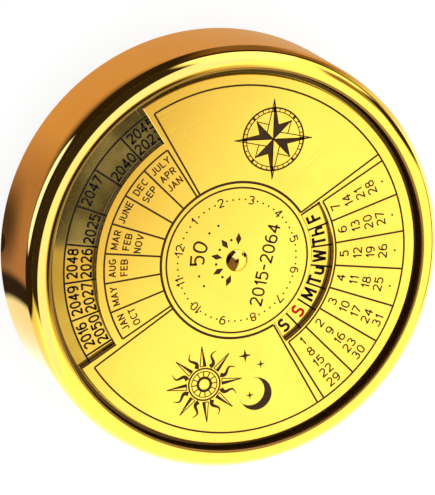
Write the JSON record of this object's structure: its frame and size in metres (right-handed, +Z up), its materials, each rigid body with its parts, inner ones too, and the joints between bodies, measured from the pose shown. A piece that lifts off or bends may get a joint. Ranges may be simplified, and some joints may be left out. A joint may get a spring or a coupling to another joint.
{
  "type": "perpetual desk calendar",
  "caption": "Round polished brass desk calendar and paperweight: a face plate turns over a fixed disc of years and weekdays, which show through its two windows.",
  "frame": {"origin": "centre of the felt's underside, where the calendar rests", "axes": "+Z up through the dial along its pivot, +Y towards the month cells of the face plate at rest, -Y towards its date cells"},
  "size_m": [0.0762, 0.0762, 0.0191],
  "materials": {
    "case_brass": "mirror polished brass drum",
    "plate_brass": "polished brass face with fine turning marks",
    "disc_brass": "polished brass disc with fine turning marks",
    "stud_brass": "polished",
    "pin_brass": "drawn",
    "base_brass": "rolled sheet",
    "line_enamel": "dark brown enamel in the engraved lines",
    "washer_steel": "plain steel",
    "screw_steel": "zinc plated",
    "ballast_iron": "as cast",
    "felt": "dark green wool felt"
  },
  "bodies": {
    "case": {"case_body": "case_brass", "calendar_disc": "disc_brass", "disc_line_enamel": "line_enamel", "pivot_stud": "stud_brass", "thrust_washer": "washer_steel", "spring_washer": "washer_steel", "plain_washer": "washer_steel", "lock_nut": "washer_steel", "locating_pins": "pin_brass", "ballast_weight": "ballast_iron", "base_plate": "base_brass", "base_screws": "screw_steel", "felt_pad": "felt"},
    "dial": {"face_plate": "plate_brass", "face_line_enamel": "line_enamel"}
  },
  "joints": [
    {"name": "dial_turn", "type": "hinge", "parent": "case", "child": "dial", "pos_m": [0, 0, 0.0179], "axis": [0, 0, 1], "continuous": true}
  ]
}
